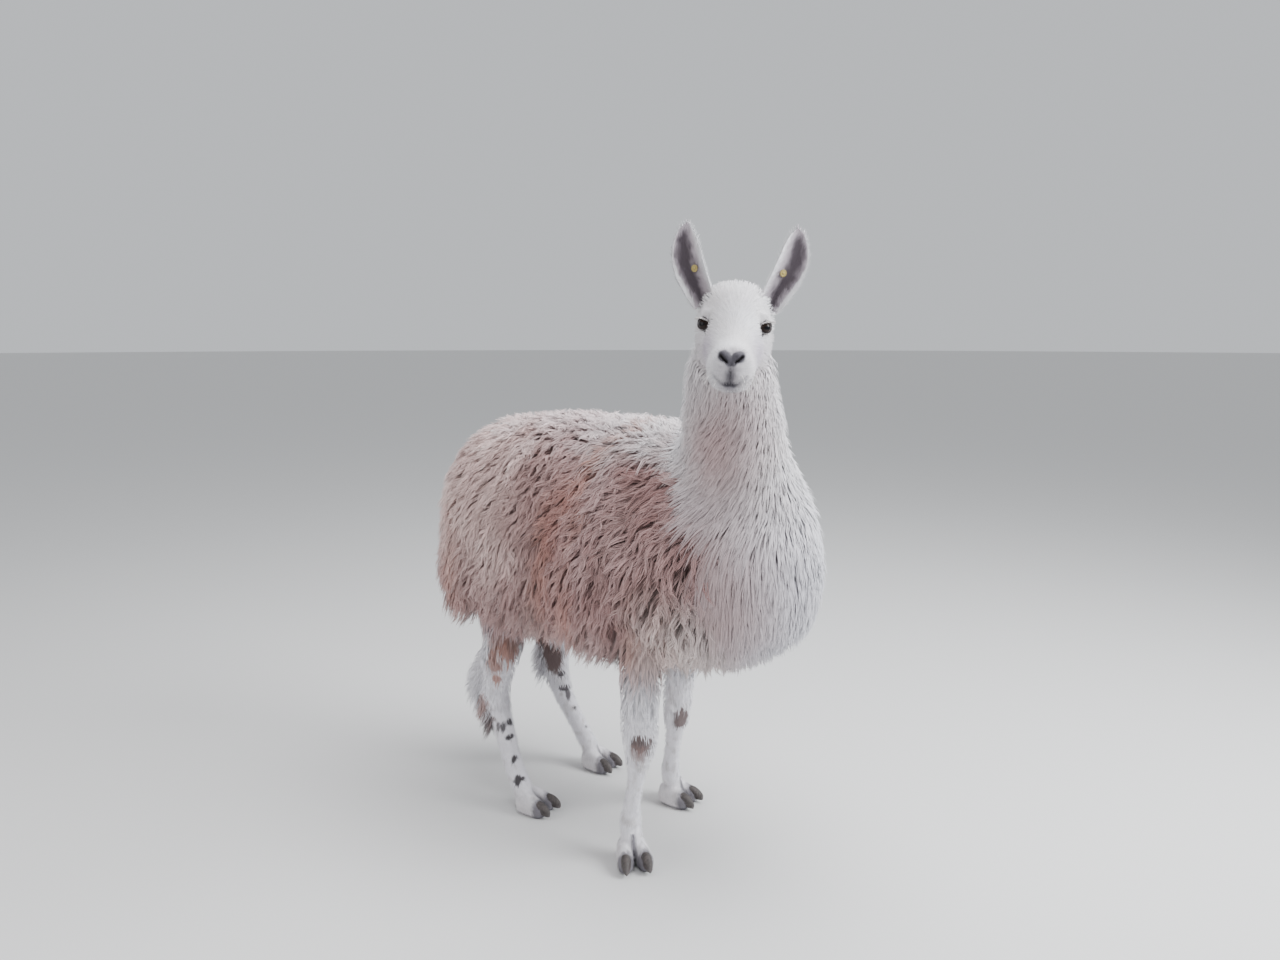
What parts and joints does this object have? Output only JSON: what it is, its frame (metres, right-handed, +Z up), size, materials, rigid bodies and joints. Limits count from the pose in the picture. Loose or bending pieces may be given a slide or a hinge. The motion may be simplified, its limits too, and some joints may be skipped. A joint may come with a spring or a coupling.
{
  "type": "llama",
  "caption": "Standing llama in long pale fleece with a white bib, neck and face, upright cupped ears with button tags, spotted white legs and two-toed feet, head turned to its right",
  "frame": {"origin": "middle of the whole animal's footprint box, on the floor between the feet", "axes": "+X from tail to chest, +Y to the animal's left, +Z up"},
  "size_m": [1.4626, 0.6518, 1.6673],
  "materials": {
    "fleece": "long matted wool, dirty white with rusty streaks",
    "bib": "long soft white hair",
    "face": "short dense white hair with a dark grey nose",
    "ear": "short white hair outside, dark bare hollow",
    "leg": "short white hair with brown patches and dark spots",
    "eye": "wet dark brown eye",
    "horn": "dark grey horn, slightly worn",
    "tag": "plain yellow moulded plastic"
  },
  "bodies": {
    "root": {"trunk": "fleece", "chest": "bib", "neck": "bib", "eye_right": "eye", "ear_right": "ear", "ear_tag_right": "tag", "eye_left": "eye", "ear_left": "ear", "ear_tag_left": "tag", "head": "face", "tail": "fleece", "nail_fore_right_right": "horn", "nail_fore_right_left": "horn", "leg_fore_right": "leg", "nail_fore_left_right": "horn", "nail_fore_left_left": "horn", "leg_fore_left": "leg", "nail_hind_right_right": "horn", "nail_hind_right_left": "horn", "leg_hind_right": "leg", "nail_hind_left_right": "horn", "nail_hind_left_left": "horn", "leg_hind_left": "leg"}
  },
  "joints": []
}
